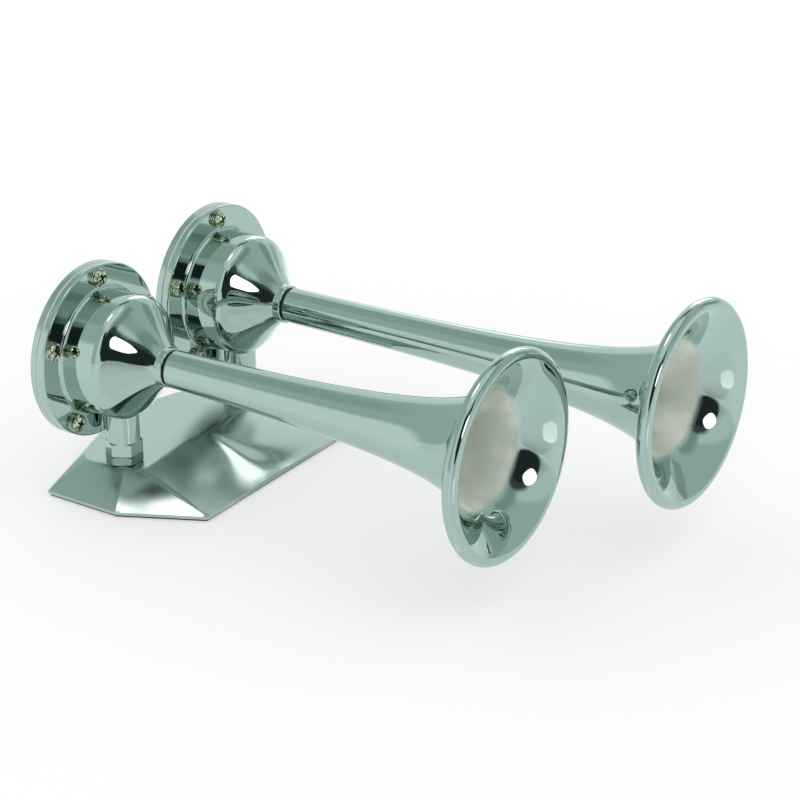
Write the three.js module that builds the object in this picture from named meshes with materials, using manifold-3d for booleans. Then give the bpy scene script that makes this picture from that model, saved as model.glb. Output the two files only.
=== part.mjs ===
import * as THREE from 'three';
import { mergeVertices } from 'three/addons/utils/BufferGeometryUtils.js';
import { ConvexGeometry } from 'three/addons/geometries/ConvexGeometry.js';
import Module from 'manifold-3d';

// Dual-tone air horn: two chromed horns of different length, side by side on one cast base plate.
// Millimetres. +X points out of the bells, +Y from the short horn to the long one, +Z up.
// The origin is midway between the two stems, on the underside of the base gasket.

// Whole object
const flangeGap = 8.25;
const axisHeight = 61;
const fit = 0.3;
const overrun = 2;
const weld = 1e-4;
const roundSides = 32;
const nutSides = 18;
const smallSides = 12;
const hexSides = 6;
const filletSteps = 2;

// Sound chamber, one on each horn. Places along a horn count from the front of its flange.
const flangeThickness = 3;
const flangeEdge = 0.5;
const wallRadius = 26.1;
const wallLength = 15.6;
const wallFillet = 1.8;
const castThickness = 3.2;
const domeLength = 18.4;
const neckShoulder = 2.2;
const neckLength = 3.3;
const neckWall = 2.2;
const spigotRadius = 6;
const spigotLength = 8.5;
const spigotWall = 1.1;
const stemFromFlange = 9.5;

// Rear cover, its gasket and its screws
const coverThickness = 3.4;
const coverEdge = 0.9;
const coverRecessDepth = 1.4;
const coverStepMargin = 0.4;
const coverStepHeight = 0.8;
const gasketThickness = 0.8;
const gasketInset = 0.4;
const gasketLand = 3.3;
const screwCount = 5;
const screwRadius = 2;
const screwHeadRadius = 3.9;
const screwHeadHeight = 3;
const screwEdgeMargin = 0.8;
const screwCrownShares = [[1, 0.5], [0.78, 0.85], [0.5, 1]];
const screwSlotWidth = 1;
const screwSlotDepth = 1.4;
const screwTipGap = 0.8;

// Diaphragm and the nozzle that it closes
const diaphragmThickness = 0.4;
const diaphragmGap = 0.2;
const nozzleRadius = 4.6;
const nozzleWall = 1.2;
const nozzleSeatRadius = 8.6;
const nozzleSeatLength = 2.4;
const nozzleTaperLength = 4;

// Trumpets
const shortReach = 200.4;
const longReach = 236.2;
const bellRadius = 43;
const lipRadius = 3.1;
const lipOverhang = 3.5;
const lipSegments = 10;
const lipEndAngle = 250;
const lipJoin = 0.25;
const trumpetWall = 1.1;
const sealThickness = 1.2;
const sealInset = 1.1;
const socketWall = 0.9;
const longFlareHeight = 17;
const longFlareLength = 50;
const mouthFlareLength = 9.6;
const flareSteps = 12;
const flareCrowding = 2;

// Stem, its hexagon and its nuts
const stemRadius = 7;
const stemTipRadius = 4;
const stemTipReach = 2.2;
const stemShankRadius = 5;
const stemBoreRadius = 2.4;
const stemHexAcrossFlats = 14;
const stemHexHeight = 5.8;
const lockNutHeight = 4.2;
const underNutHeight = 4.5;
const washerRadius = 8.6;
const washerThickness = 1;
const shankEndGap = 0.6;

// Base plate. Places along X count from the middle between the stems, margins sideways from a stem.
const baseGasketThickness = 1;
const baseGasketInset = 0.9;
const plateHeight = 12;
const plateRimHeight = 1.3;
const topRearMiddleX = -33.9;
const topRearCornerX = -17.3;
const topRearMargin = 8.9;
const topFrontX = 11.5;
const topFrontMargin = 7;
const footRearMiddleX = -44.2;
const footRearCornerX = -22.7;
const footRearMargin = 23.7;
const footSideX = 14;
const footSideMargin = 24.7;
const footFrontX = 49;
const footFrontMargin = 7.8;
const valleyInset = 1.2;
const seatDepth = 7;
const seatRadius = 11;
const pocketDepth = 8.2;
const pocketSize = 17;
const pocketPitch = 21;
const pocketRowX = -14;
const mountingHoleRadius = 2.6;
const mountingHoleDepth = 8;
const mountingHoleX = 3;
const mountingHoleY = 19;

// Finishes
const chrome = { color: 0xc9d6d0, roughness: 0.08, metalness: 1 };
const screwPlating = { color: 0xb9ae86, roughness: 0.3, metalness: 1 };
const brass = { color: 0xb8974f, roughness: 0.35, metalness: 1 };
const springSteel = { color: 0x9aa09e, roughness: 0.35, metalness: 1 };
const rubber = { color: 0x1b1d1c, roughness: 0.85, metalness: 0 };

// Sizes and places that follow from the sizes above
const neckRadius = spigotRadius + neckShoulder;
const screwHoleRadius = screwRadius + fit;
const screwCircleRadius = wallRadius + wallFillet + screwHeadRadius + fit;
const flangeRadius = screwCircleRadius + screwHeadRadius + screwEdgeMargin;
const stemSide = flangeRadius + flangeGap / 2;
const diaphragmRadius = screwCircleRadius - screwHoleRadius - gasketLand - fit;
const coverStepRadius = diaphragmRadius + coverStepMargin;
const tubeRadius = spigotRadius + fit + socketWall;
const mouthFlareHeight = bellRadius - lipOverhang - tubeRadius - longFlareHeight;
const neckStart = wallLength + domeLength;
const neckEnd = neckStart + neckLength;
const trumpetStart = neckEnd + sealThickness;
const spigotEnd = neckEnd + spigotLength;
const gasketFront = -flangeThickness;
const coverFront = gasketFront - gasketThickness;
const coverRear = coverFront - coverThickness;
const spigotBoreRadius = spigotRadius - spigotWall;
const diaphragmFront = gasketFront - diaphragmGap;
const nozzleStart = diaphragmFront + fit;
const nozzleEnd = neckStart;
const plateTop = baseGasketThickness + plateHeight;
const seatTop = baseGasketThickness + seatDepth;

const wasm = await Module();
wasm.setup();

// A closed three.js geometry as a solid that can be cut and joined
function solidOf(geometry) {
  const bare = geometry.clone();
  bare.deleteAttribute('normal');
  bare.deleteAttribute('uv');
  const merged = mergeVertices(bare, weld);
  const corners = merged.index.array;
  const faces = [];
  for (let i = 0; i < corners.length; i += 3) {
    const [a, b, c] = corners.slice(i, i + 3);
    if (a !== b && b !== c && c !== a) faces.push(a, b, c);
  }
  const vertProperties = merged.attributes.position.array;
  return new wasm.Manifold(new wasm.Mesh({ numProp: 3, vertProperties, triVerts: new Uint32Array(faces) }));
}

function geometryOf(solid) {
  const mesh = solid.getMesh();
  const geometry = new THREE.BufferGeometry();
  geometry.setAttribute('position', new THREE.BufferAttribute(mesh.vertProperties, 3));
  geometry.setIndex(new THREE.BufferAttribute(mesh.triVerts, 1));
  return geometry.toNonIndexed();
}

function piece(name, solid, finish) {
  const geometry = geometryOf(solid);
  geometry.computeVertexNormals();
  const mesh = new THREE.Mesh(geometry, new THREE.MeshStandardMaterial(finish));
  mesh.name = name;
  return mesh;
}

// A solid turned about X from a profile of [x, radius], which runs forward outside and back inside
function turned(profile, sides = roundSides) {
  const points = profile.map(([x, radius]) => new THREE.Vector2(radius, x));
  return solidOf(new THREE.LatheGeometry(points, sides).rotateZ(-Math.PI / 2));
}

const closed = (profile) => [...profile, profile[0]];

// A round ring or rod about X
function ring(from, to, outer, inner, sides = roundSides) {
  return turned(closed([[from, inner], [from, outer], [to, outer], [to, inner]]), sides);
}

function rod(from, to, radius, sides = roundSides) {
  return turned([[from, 0], [from, radius], [to, radius], [to, 0]], sides);
}

// The same about Z
function upright(profile, sides = roundSides) {
  const points = profile.map(([z, radius]) => new THREE.Vector2(radius, z));
  return solidOf(new THREE.LatheGeometry(points, sides).rotateX(Math.PI / 2));
}

function post(from, to, radius, sides = roundSides) {
  return upright([[from, 0], [from, radius], [to, radius], [to, 0]], sides);
}

function block(width, depth, height, x, y, z) {
  return solidOf(new THREE.BoxGeometry(width, depth, height).translate(x, y, z));
}

// A hexagon prism about Z with corners towards +Y and -Y and its outer corners turned off
function hexagon(from, to, acrossFlats) {
  const corner = acrossFlats / Math.cos(Math.PI / hexSides) / 2;
  const height = to - from;
  const chamfer = corner - acrossFlats / 2;
  const prism = new THREE.CylinderGeometry(corner, corner, height, hexSides).rotateX(Math.PI / 2);
  prism.translate(0, 0, from + height / 2);
  const profile = [
    [from, 0],
    [from, acrossFlats / 2],
    [from + chamfer / 2, corner],
    [to - chamfer / 2, corner],
    [to, acrossFlats / 2],
    [to, 0],
  ];
  return solidOf(prism).intersect(upright(profile, nutSides));
}

// Points [x, radius] on an arc, angles in degrees from +X towards the outside
function arc(centreX, centreRadius, radius, fromAngle, toAngle, steps) {
  return Array.from({ length: steps + 1 }, (_, i) => {
    const angle = THREE.MathUtils.degToRad(fromAngle + ((toAngle - fromAngle) * i) / steps);
    return [centreX + radius * Math.cos(angle), centreRadius + radius * Math.sin(angle)];
  });
}

// The dome between wall and neck: shares of its length, and of the drop in radius that is still left
const domeShares = [
  [0.083, 0.984],
  [0.167, 0.931],
  [0.25, 0.848],
  [0.333, 0.745],
  [0.417, 0.636],
  [0.5, 0.528],
  [0.583, 0.424],
  [0.667, 0.325],
  [0.75, 0.233],
  [0.833, 0.148],
  [0.917, 0.07],
];

function domePoints(offset) {
  const drop = wallRadius - neckRadius;
  return domeShares.map(([along, left]) => [
    wallLength + along * domeLength,
    neckRadius + left * drop + offset,
  ]);
}

function chamberOutline(offset) {
  return [
    [0, wallRadius + wallFillet + offset],
    ...arc(wallFillet, wallRadius + wallFillet, wallFillet - offset, 180, 270, filletSteps).slice(1),
    [wallLength, wallRadius + offset],
    ...domePoints(offset),
    [neckStart, neckRadius + offset],
  ];
}

function frontBody(name) {
  const cavityRadius = wallRadius - castThickness;
  const cavityNeck = spigotBoreRadius + neckWall;
  const outside = [
    [gasketFront, flangeRadius],
    [-flangeEdge, flangeRadius],
    [0, flangeRadius - flangeEdge],
    ...chamberOutline(0),
    [neckEnd, neckRadius],
    [neckEnd, spigotRadius],
    [spigotEnd, spigotRadius],
  ];
  const domeInside = domePoints(0)
    .filter(([, radius]) => radius - castThickness > cavityNeck)
    .map(([x, radius]) => [x - castThickness, radius - castThickness])
    .reverse();
  const inside = [
    [spigotEnd, spigotBoreRadius],
    [domeInside[0][0] + castThickness, spigotBoreRadius],
    [domeInside[0][0] + castThickness / 2, cavityNeck],
    ...domeInside,
    [gasketFront, cavityRadius],
  ];
  let solid = turned(closed([...outside, ...inside]));
  for (const hole of screwPlaces(gasketFront - overrun, overrun, screwHoleRadius)) {
    solid = solid.subtract(hole);
  }
  const airHole = post(-wallRadius - overrun, -cavityRadius / 2, stemTipRadius + fit, smallSides);
  return piece(name, solid.subtract(airHole.translate([stemFromFlange, 0, 0])), chrome);
}

// Rods along X at the places of the cover screws, the first one at the top
function screwPlaces(from, to, radius) {
  return Array.from({ length: screwCount }, (_, i) => {
    const [y, z] = screwPlace(i);
    return rod(from, to, radius, smallSides).translate([0, y, z]);
  });
}

function screwPlace(i) {
  const angle = Math.PI / 2 + (i * 2 * Math.PI) / screwCount;
  return [screwCircleRadius * Math.cos(angle), screwCircleRadius * Math.sin(angle)];
}

function rearCover(name) {
  const recessRadius = diaphragmRadius - fit;
  let solid = turned([
    [coverRear - coverStepHeight, 0],
    [coverRear - coverStepHeight, coverStepRadius],
    [coverRear, coverStepRadius + coverStepHeight],
    [coverRear, flangeRadius - coverEdge],
    [coverRear + coverEdge, flangeRadius],
    [coverFront, flangeRadius],
    [coverFront, recessRadius],
    [coverFront - coverRecessDepth, recessRadius - coverRecessDepth],
    [coverFront - coverRecessDepth, 0],
  ]);
  for (const hole of screwPlaces(coverRear - overrun, coverFront + overrun, screwHoleRadius)) {
    solid = solid.subtract(hole);
  }
  return piece(name, solid, chrome);
}

function coverGasket(name) {
  let solid = ring(coverFront, gasketFront, flangeRadius - gasketInset, diaphragmRadius + fit);
  for (const hole of screwPlaces(coverFront - overrun, gasketFront + overrun, screwHoleRadius)) {
    solid = solid.subtract(hole);
  }
  return piece(name, solid, rubber);
}

function diaphragm(name) {
  return piece(name, rod(diaphragmFront - diaphragmThickness, diaphragmFront, diaphragmRadius), springSteel);
}

function throatNozzle(name) {
  const bore = nozzleRadius - nozzleWall;
  const seatEnd = nozzleStart + nozzleSeatLength;
  const profile = closed([
    [nozzleStart, nozzleSeatRadius - nozzleWall],
    [nozzleStart, nozzleSeatRadius],
    [seatEnd, nozzleSeatRadius],
    [seatEnd + nozzleTaperLength, nozzleRadius],
    [nozzleEnd, nozzleRadius],
    [nozzleEnd, bore],
    [seatEnd + nozzleTaperLength, bore],
  ]);
  return piece(name, turned(profile, smallSides), brass);
}

function neckSeal(name) {
  return piece(name, ring(neckEnd, trumpetStart, neckRadius - sealInset, spigotRadius + fit), rubber);
}

// Outer radius of a trumpet at a distance behind its rim
function flareRadius(distance) {
  const long = longFlareHeight * Math.exp(-distance / longFlareLength);
  const mouth = mouthFlareHeight * Math.exp(-distance / mouthFlareLength);
  return tubeRadius + long + mouth;
}

function flareSlope(distance) {
  const long = (longFlareHeight / longFlareLength) * Math.exp(-distance / longFlareLength);
  const mouth = (mouthFlareHeight / mouthFlareLength) * Math.exp(-distance / mouthFlareLength);
  return long + mouth;
}

function trumpet(name, reach) {
  const curveFront = reach - trumpetWall - lipJoin;
  const curveLength = curveFront - trumpetStart;
  const outside = [];
  const inside = [];
  for (let i = 0; i <= flareSteps; i += 1) {
    const distance = curveLength * (1 - i / flareSteps) ** flareCrowding;
    const radius = flareRadius(distance + lipJoin);
    const slope = flareSlope(distance + lipJoin);
    const across = trumpetWall / Math.hypot(slope, 1);
    const x = curveFront - distance;
    outside.push([x, radius]);
    inside.push([x + slope * across, radius - across]);
  }
  const lipFromAngle = -THREE.MathUtils.radToDeg(Math.atan(1 / flareSlope(lipJoin)));
  const curl = (radius) =>
    arc(reach - lipRadius, bellRadius - lipRadius, radius, lipFromAngle, lipEndAngle, lipSegments).slice(1);
  const lip = [...curl(lipRadius - trumpetWall), ...curl(lipRadius).reverse()];
  const socketRadius = spigotRadius + fit;
  const socketEnd = trumpetStart + spigotLength;
  const bore = inside.filter(([x]) => x > socketEnd + spigotWall).reverse();
  const socket = [
    [socketEnd, socketRadius],
    [trumpetStart, socketRadius],
  ];
  return piece(name, turned(closed([...outside, ...lip, ...bore, ...socket])), chrome);
}

// A pan head with a crossed slot, its shank running back through flange and cover
function coverScrew(name, i) {
  const tip = coverRear + screwTipGap;
  const crown = screwCrownShares.map(([out, up]) => [up * screwHeadHeight, out * screwHeadRadius]);
  let solid = turned(
    [
      [tip, 0],
      [tip, screwRadius],
      [0, screwRadius],
      [0, screwHeadRadius],
      ...crown,
      [screwHeadHeight, 0],
    ],
    smallSides,
  );
  const slotLength = screwHeadRadius;
  const slotX = screwHeadHeight - screwSlotDepth / 2 + overrun / 2;
  const slotTall = block(screwSlotDepth + overrun, screwSlotWidth, slotLength, slotX, 0, 0);
  const slotWide = block(screwSlotDepth + overrun, slotLength, screwSlotWidth, slotX, 0, 0);
  solid = solid.subtract(slotTall.add(slotWide));
  const mesh = piece(name, solid, screwPlating);
  const [y, z] = screwPlace(i);
  mesh.position.set(0, y, z);
  mesh.rotation.x = (i * 2 * Math.PI) / screwCount;
  return mesh;
}

// The stem's heights count from the horn's axis
const axisToPlate = plateTop - axisHeight;
const hexFoot = axisToPlate + lockNutHeight;
const hexTop = hexFoot + stemHexHeight;
const shankEnd = baseGasketThickness + shankEndGap - axisHeight;

function stem(name) {
  const tipTop = wallRadius - castThickness - stemTipReach;
  const column = post(hexTop - fit, 0, stemRadius).subtract(
    turned([[-overrun, 0], ...chamberOutline(fit), [neckStart, 0]]).translate([-stemFromFlange, 0, 0]),
  );
  const tip = post(hexFoot, -tipTop, stemTipRadius, smallSides);
  const shank = post(shankEnd, hexFoot + fit, stemShankRadius, smallSides);
  const bore = post(shankEnd - overrun, overrun - tipTop, stemBoreRadius, smallSides);
  const foot = hexagon(hexFoot, hexTop, stemHexAcrossFlats);
  return piece(name, foot.add(column).add(tip).add(shank).subtract(bore), chrome);
}

function nut(name, from, height) {
  const hole = post(from - overrun, from + height + overrun, stemShankRadius + fit, smallSides);
  return piece(name, hexagon(from, from + height, stemHexAcrossFlats).subtract(hole), chrome);
}

function washer(name, from) {
  const profile = closed([
    [from, stemShankRadius + fit],
    [from, washerRadius],
    [from + washerThickness, washerRadius],
    [from + washerThickness, stemShankRadius + fit],
  ]);
  return piece(name, upright(profile, smallSides), springSteel);
}

// Half the outline of the plate's foot in plan, walked round against the clock. The top of its rim
// draws back a little at the front middle, where a shallow valley runs down the front slope.
const footHalf = [
  [footFrontX, 0],
  [footFrontX, stemSide + footFrontMargin],
  [footSideX, stemSide + footSideMargin],
  [footRearCornerX, stemSide + footRearMargin],
  [footRearMiddleX, 0],
];

function basePlate(name) {
  const rimTop = baseGasketThickness + plateRimHeight;
  const rimHalf = [[footFrontX - valleyInset, 0], ...footHalf.slice(1)];
  const topHalf = [
    [topFrontX, 0],
    [topFrontX, stemSide + topFrontMargin],
    [topRearCornerX, stemSide + topRearMargin],
    [topRearMiddleX, 0],
  ];
  const halfPlate = (side) => {
    const corners = [
      ...footHalf.map(([x, y]) => new THREE.Vector3(x, side * y, baseGasketThickness)),
      ...rimHalf.map(([x, y]) => new THREE.Vector3(x, side * y, rimTop)),
      ...topHalf.map(([x, y]) => new THREE.Vector3(x, side * y, plateTop)),
    ];
    return solidOf(new ConvexGeometry(corners));
  };
  let solid = halfPlate(1).add(halfPlate(-1));
  const under = baseGasketThickness - overrun;
  for (const side of [-1, 1]) {
    const y = side * stemSide;
    const stemHole = post(under, plateTop + overrun, stemShankRadius + fit, smallSides);
    const seat = post(under, seatTop, seatRadius, nutSides);
    const top = baseGasketThickness + mountingHoleDepth;
    const mountingHole = post(under, top, mountingHoleRadius, smallSides);
    solid = solid.subtract(stemHole.add(seat).translate([0, y, 0]));
    solid = solid.subtract(mountingHole.translate([mountingHoleX, side * mountingHoleY, 0]));
  }
  const pocketHeight = pocketDepth + overrun;
  for (const row of [-1, 0, 1]) {
    const z = under + pocketHeight / 2;
    const pocket = block(pocketSize, pocketSize, pocketHeight, pocketRowX, row * pocketPitch, z);
    solid = solid.subtract(pocket);
  }
  return piece(name, solid, chrome);
}

// An outline moved inwards by a distance, corner by corner
function inset(outline, distance) {
  return outline.map((corner, i) => {
    const before = outline[(i + outline.length - 1) % outline.length];
    const after = outline[(i + 1) % outline.length];
    const inwards = (from, to) => {
      const run = new THREE.Vector2().subVectors(to, from).normalize();
      return new THREE.Vector2(-run.y, run.x);
    };
    const first = inwards(before, corner);
    const second = inwards(corner, after);
    const between = first.clone().add(second);
    return corner.clone().addScaledVector(between, distance / (1 + first.dot(second)));
  });
}

function baseGasket(name) {
  const farHalf = footHalf.slice(1, -1).map(([x, y]) => [x, -y]).reverse();
  const outline = [...footHalf, ...farHalf].map(([x, y]) => new THREE.Vector2(x, y));
  const shape = new THREE.Shape(inset(outline, baseGasketInset));
  const sheet = new THREE.ExtrudeGeometry(shape, { depth: baseGasketThickness, bevelEnabled: false });
  let solid = solidOf(sheet);
  const through = baseGasketThickness + overrun;
  for (const side of [-1, 1]) {
    const hole = post(-overrun, through, seatRadius, nutSides).translate([0, side * stemSide, 0]);
    const screwHole = post(-overrun, through, mountingHoleRadius, smallSides);
    solid = solid.subtract(hole);
    solid = solid.subtract(screwHole.translate([mountingHoleX, side * mountingHoleY, 0]));
  }
  return piece(name, solid, rubber);
}

// One horn with everything that turns on its stem, and the nuts that hold the stem on the plate
function horn(prefix, reach, y) {
  const chamber = new THREE.Group();
  chamber.position.set(-stemFromFlange, y, axisHeight);
  chamber.add(
    frontBody(`${prefix}_front_body`),
    rearCover(`${prefix}_rear_cover`),
    coverGasket(`${prefix}_cover_gasket`),
    diaphragm(`${prefix}_diaphragm`),
    throatNozzle(`${prefix}_throat_nozzle`),
    neckSeal(`${prefix}_neck_seal`),
    trumpet(`${prefix}_trumpet`, reach),
  );
  for (let i = 0; i < screwCount; i += 1) chamber.add(coverScrew(`${prefix}_cover_screw_${i + 1}`, i));
  const support = new THREE.Group();
  support.position.set(0, y, axisHeight);
  const washerFoot = seatTop - washerThickness - axisHeight;
  support.add(
    stem(`${prefix}_stem`),
    nut(`${prefix}_lock_nut`, axisToPlate, lockNutHeight),
    washer(`${prefix}_stem_washer`, washerFoot),
    nut(`${prefix}_under_nut`, washerFoot - underNutHeight, underNutHeight),
  );
  return [chamber, support];
}

const group = new THREE.Group();
group.add(basePlate('base_plate'), baseGasket('base_gasket'));
group.add(...horn('short', shortReach, -stemSide), ...horn('long', longReach, stemSide));

export default group;
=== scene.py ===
import math

import bmesh
import bpy
from mathutils import Matrix, Vector


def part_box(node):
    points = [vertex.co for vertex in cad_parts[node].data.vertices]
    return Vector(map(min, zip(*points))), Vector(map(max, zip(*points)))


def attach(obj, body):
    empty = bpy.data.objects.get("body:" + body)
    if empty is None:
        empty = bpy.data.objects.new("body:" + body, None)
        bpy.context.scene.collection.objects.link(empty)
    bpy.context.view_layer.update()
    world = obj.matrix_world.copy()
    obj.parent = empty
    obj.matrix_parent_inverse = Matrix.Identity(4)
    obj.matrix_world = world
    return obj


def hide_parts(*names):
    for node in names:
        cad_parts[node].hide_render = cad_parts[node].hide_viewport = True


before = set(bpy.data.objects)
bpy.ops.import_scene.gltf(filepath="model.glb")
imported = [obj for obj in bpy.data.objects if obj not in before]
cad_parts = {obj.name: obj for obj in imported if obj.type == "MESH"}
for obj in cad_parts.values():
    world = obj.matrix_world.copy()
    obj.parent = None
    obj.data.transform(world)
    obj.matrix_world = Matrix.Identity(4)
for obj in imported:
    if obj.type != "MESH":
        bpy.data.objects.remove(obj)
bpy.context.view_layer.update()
mm = 0.001
print("frame loaded")


# camera: the photograph's view, from the front right and above
cameraSetup = {
    "place": (699.5, -873.3, 517.6),
    "right": (0.83222, 0.55435, -0.01065),
    "up": (-0.21638, 0.34241, 0.91429),
    "lens": 128.0,
    "sensor": 36.0,
    "clip": (0.01, 20),
}


def makeCamera(setup):
    right = Vector(setup["right"]).normalized()
    up = Vector(setup["up"])
    up = (up - right * up.dot(right)).normalized()
    back = right.cross(up)
    data = bpy.data.cameras.new("photoCamera")
    data.lens = setup["lens"]
    data.sensor_width = setup["sensor"]
    data.clip_start, data.clip_end = setup["clip"]
    camera = bpy.data.objects.new("photoCamera", data)
    turn = Matrix((right, up, back)).transposed().to_4x4()
    camera.matrix_world = Matrix.Translation(Vector(setup["place"]) * mm) @ turn
    bpy.context.scene.collection.objects.link(camera)
    bpy.context.scene.camera = camera


makeCamera(cameraSetup)
print("camera set")


# materials: the effects that several finishes share are node groups
def newMaterial(name):
    material = bpy.data.materials.new(name)
    material.use_nodes = True
    return material, material.node_tree.nodes, material.node_tree.links


def newGroup(name, inputs, outputs):
    group = bpy.data.node_groups.new(name, "ShaderNodeTree")
    for label, kind, value in inputs:
        socket = group.interface.new_socket(label, in_out="INPUT", socket_type=kind)
        if value is not None:
            socket.default_value = value
    for label, kind in outputs:
        group.interface.new_socket(label, in_out="OUTPUT", socket_type=kind)
    nodes, links = group.nodes, group.links
    return group, nodes, links, nodes.new("NodeGroupInput").outputs, nodes.new("NodeGroupOutput").inputs


def noiseNode(nodes, links, position, scale, detail=2, roughness=0.5):
    noise = nodes.new("ShaderNodeTexNoise")
    noise.inputs["Detail"].default_value = detail
    noise.inputs["Roughness"].default_value = roughness
    if isinstance(scale, (int, float)):
        noise.inputs["Scale"].default_value = scale
    else:
        links.new(scale, noise.inputs["Scale"])
    links.new(position, noise.inputs["Vector"])
    return noise.outputs["Fac"]


def mathNode(nodes, links, operation, first, second=None):
    node = nodes.new("ShaderNodeMath")
    node.operation = operation
    for socket, value in zip(node.inputs, (first, second)):
        if isinstance(value, (int, float)):
            socket.default_value = value
        elif value is not None:
            links.new(value, socket)
    return node.outputs["Value"]


def mapRange(nodes, links, value, fromMin, fromMax, toMin=0, toMax=1):
    # a soft step from one range to another
    fade = nodes.new("ShaderNodeMapRange")
    fade.interpolation_type = "SMOOTHSTEP"
    for label, end in (("From Min", fromMin), ("From Max", fromMax), ("To Min", toMin), ("To Max", toMax)):
        if isinstance(end, (int, float)):
            fade.inputs[label].default_value = end
        else:
            links.new(end, fade.inputs[label])
    links.new(value, fade.inputs["Value"])
    return fade.outputs["Result"]


def mixColours(nodes, links, factor, first, second):
    mix = nodes.new("ShaderNodeMix")
    mix.data_type = "RGBA"
    for label, value in (("Factor_Float", factor), ("A_Color", first), ("B_Color", second)):
        socket = next(s for s in mix.inputs if s.identifier == label)
        if isinstance(value, (tuple, int, float)):
            socket.default_value = value
        else:
            links.new(value, socket)
    return next(s for s in mix.outputs if s.identifier == "Result_Color")


def bumpNode(nodes, links, height, distance):
    bump = nodes.new("ShaderNodeBump")
    bump.inputs["Strength"].default_value = 1
    bump.inputs["Distance"].default_value = distance
    links.new(height, bump.inputs["Height"])
    return bump.outputs["Normal"]


def makePolishGroup():
    # slow unevenness of a polished surface, and fine hairlines that dull it here and there
    group, nodes, links, given, put = newGroup(
        "polish", [("Position", "NodeSocketVector", None), ("Wave Size", "NodeSocketFloat", 40.0),
                   ("Haze Low", "NodeSocketFloat", 0.03), ("Haze High", "NodeSocketFloat", 0.08)],
        [("Height", "NodeSocketFloat"), ("Roughness", "NodeSocketFloat")])
    wave = noiseNode(nodes, links, given["Position"], given["Wave Size"], 1, 0.4)
    links.new(wave, put["Height"])
    haze = noiseNode(nodes, links, given["Position"], 90, 4, 0.6)
    links.new(mapRange(nodes, links, haze, 0.45, 0.75, given["Haze Low"], given["Haze High"]), put["Roughness"])
    return group


def makeDustGroup():
    # specks and a faint film, heavier where the surface faces up
    group, nodes, links, given, put = newGroup(
        "dust", [("Position", "NodeSocketVector", None), ("Facing", "NodeSocketVector", None),
                 ("Amount", "NodeSocketFloat", 0.1)], [("Mask", "NodeSocketFloat")])
    specks = mapRange(nodes, links, noiseNode(nodes, links, given["Position"], 1400, 1), 0.74, 0.8)
    film = mapRange(nodes, links, noiseNode(nodes, links, given["Position"], 60, 3), 0.4, 0.8, 0, 0.35)
    split = nodes.new("ShaderNodeSeparateXYZ")
    links.new(given["Facing"], split.inputs["Vector"])
    upward = mapRange(nodes, links, split.outputs["Z"], -0.2, 0.9)
    both = mathNode(nodes, links, "ADD", specks, film)
    links.new(mathNode(nodes, links, "MULTIPLY", mathNode(nodes, links, "MULTIPLY", both, upward),
                       given["Amount"]), put["Mask"])
    return group


def makeShadeGroup():
    # painted shade, broken up by noise, where a piece's own attribute is high
    group, nodes, links, given, put = newGroup(
        "paintedShade", [("Position", "NodeSocketVector", None), ("Edge", "NodeSocketFloat", 0.0),
                     ("Reach", "NodeSocketFloat", 0.5)], [("Mask", "NodeSocketFloat")])
    broken = noiseNode(nodes, links, given["Position"], 500, 5, 0.7)
    total = mathNode(nodes, links, "ADD", given["Edge"], mathNode(nodes, links, "SUBTRACT", broken, 0.5))
    links.new(mapRange(nodes, links, total, given["Reach"], 1.0), put["Mask"])
    return group


groups = {"polish": makePolishGroup(), "dust": makeDustGroup(), "paintedShade": makeShadeGroup()}


def placeGroup(nodes, links, name, **values):
    node = nodes.new("ShaderNodeGroup")
    node.node_tree = groups[name]
    for label, value in values.items():
        socket = node.inputs[label.replace("_", " ")]
        if isinstance(value, (int, float)):
            socket.default_value = value
        else:
            links.new(value, socket)
    return node.outputs


def positionOf(nodes):
    return nodes.new("ShaderNodeTexCoord").outputs["Object"]


def makeMetal(name, colour, haze, waveSize, waveHeight, dust=0.12, dull=(0.30, 0.31, 0.30)):
    # colour (none where the caller makes its own), (least, most) roughness, waves per metre and their height in metres
    material, nodes, links = newMaterial(name)
    shader = nodes["Principled BSDF"]
    shader.inputs["Metallic"].default_value = 1
    position = positionOf(nodes)
    facing = nodes.new("ShaderNodeNewGeometry").outputs["Normal"]
    polish = placeGroup(nodes, links, "polish", Position=position, Wave_Size=waveSize, Haze_Low=haze[0],
                        Haze_High=haze[1])
    settled = placeGroup(nodes, links, "dust", Position=position, Facing=facing, Amount=dust)["Mask"]
    if colour:
        links.new(mixColours(nodes, links, settled, (*colour, 1), (*dull, 1)), shader.inputs["Base Color"])
    rough = mathNode(nodes, links, "ADD", polish["Roughness"], mathNode(nodes, links, "MULTIPLY", settled, 0.5))
    links.new(rough, shader.inputs["Roughness"])
    links.new(bumpNode(nodes, links, polish["Height"], waveHeight), shader.inputs["Normal"])
    return material, nodes, links, shader


chromeColour = (0.505, 0.585, 0.555)


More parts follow.
